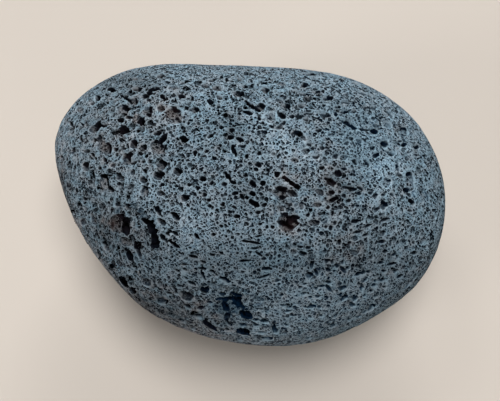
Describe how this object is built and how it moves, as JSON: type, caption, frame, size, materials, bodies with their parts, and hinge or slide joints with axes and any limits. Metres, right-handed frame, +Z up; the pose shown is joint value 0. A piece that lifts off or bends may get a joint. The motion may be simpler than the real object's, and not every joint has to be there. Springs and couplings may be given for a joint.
{
  "type": "lava rock",
  "caption": "Rounded cobble of grey vesicular lava rock, egg-shaped from above, covered in gas-bubble pits, that lies on its worn underside.",
  "frame": {"origin": "on the surface that the stone lies on, under the middle of its bounding box", "axes": "+X along the stone's length towards its blunt end, +Y towards its straighter long side, +Z up"},
  "size_m": [0.1214, 0.0894, 0.0595],
  "materials": {
    "lava_rock": "rough, porous, matt"
  },
  "bodies": {
    "root": {"lava_rock": "lava_rock"}
  },
  "joints": []
}
